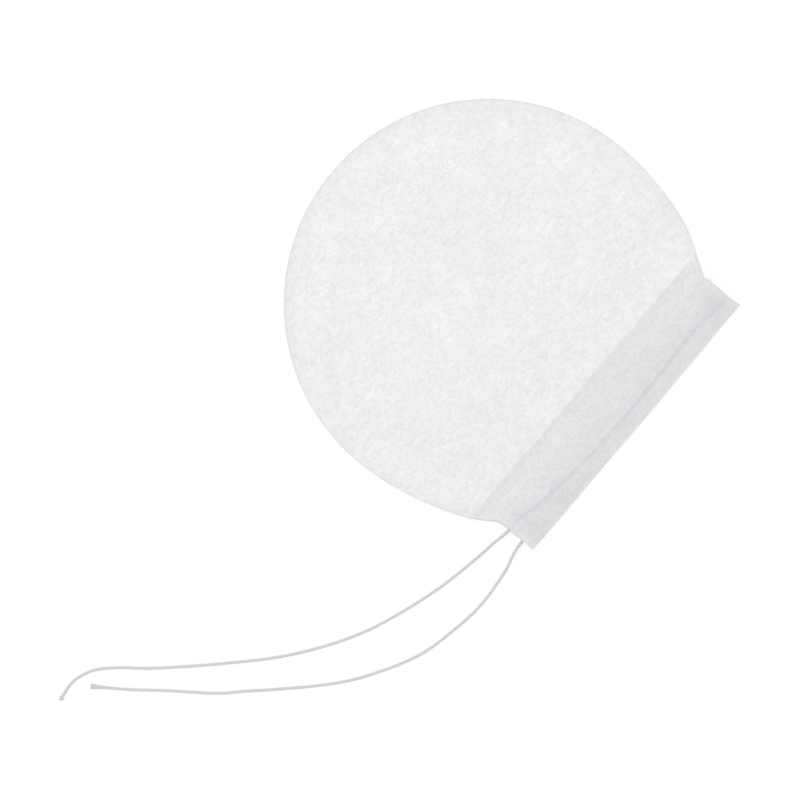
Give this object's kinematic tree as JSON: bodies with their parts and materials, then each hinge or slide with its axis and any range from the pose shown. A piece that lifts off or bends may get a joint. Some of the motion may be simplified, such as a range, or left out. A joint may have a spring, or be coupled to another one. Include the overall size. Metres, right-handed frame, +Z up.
{
  "type": "round drawstring tea filter bag",
  "caption": "Empty round-bottom tea filter bag of thin white paper, lying flat, with a folded hem along its straight mouth and a drawstring whose loose ends leave at one end of the hem.",
  "frame": {"origin": "on the surface that the bag lies on, under the middle of the bag without its loose string ends", "axes": "+X along the hem towards the end where the string leaves, +Y from the round bottom to the hem, +Z up, out of the front panel"},
  "size_m": [0.1626, 0.0826, 0.0027],
  "materials": {
    "front_paper": "matte",
    "back_paper": "matte",
    "string": "matte"
  },
  "bodies": {
    "root": {"front_panel": "front_paper", "back_panel": "back_paper", "drawstring_hem_loop": "string", "drawstring_tail_front": "string", "drawstring_tail_back": "string"}
  },
  "joints": []
}
